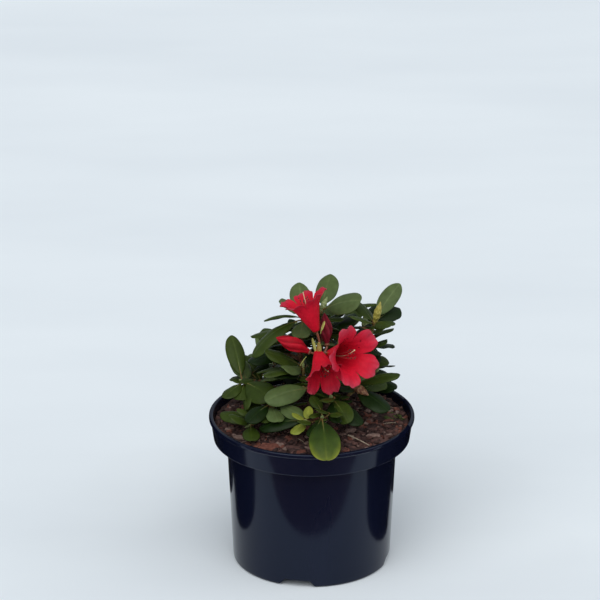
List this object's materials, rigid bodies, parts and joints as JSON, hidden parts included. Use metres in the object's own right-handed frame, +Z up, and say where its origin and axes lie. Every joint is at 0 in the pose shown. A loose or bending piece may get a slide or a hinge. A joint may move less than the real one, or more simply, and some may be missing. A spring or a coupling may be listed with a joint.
{
  "type": "potted azalea shrub",
  "caption": "Young dwarf azalea with broad evergreen leaves and scarlet bell flowers, growing in bark compost in a round black nursery pot.",
  "frame": {"origin": "on the pot's upright axis, at the level that the pot stands on", "axes": "+Z up, -Y towards the plant's face, where the flowers are, and +X to that face's right"},
  "size_m": [0.19, 0.2161, 0.2705],
  "materials": {
    "pot": "moulded, softly glossy",
    "soil": "loose moist bark compost",
    "bark": "fissured bark, reddish on the twigs",
    "leaf": "leathery, softly waxy",
    "flower": "thin, satin petals"
  },
  "bodies": {
    "root": {"pot": "pot", "soil": "soil", "trunk": "bark", "top_bough": "bark", "upper_left_bough": "bark", "upper_right_bough": "bark", "flower_bough": "bark", "middle_left_bough": "bark", "far_left_bough": "bark", "lower_left_bough": "bark", "front_bough": "bark", "lower_right_bough": "bark", "back_left_bough": "bark", "back_bough": "bark", "back_right_bough": "bark", "top_leaves": "leaf", "upper_left_leaves": "leaf", "upper_right_leaves": "leaf", "flower_truss": "flower", "middle_left_leaves": "leaf", "far_left_leaves": "leaf", "lower_left_leaves": "leaf", "front_leaves": "leaf", "lower_right_leaves": "leaf", "back_left_leaves": "leaf", "back_leaves": "leaf", "back_right_leaves": "leaf"}
  },
  "joints": []
}
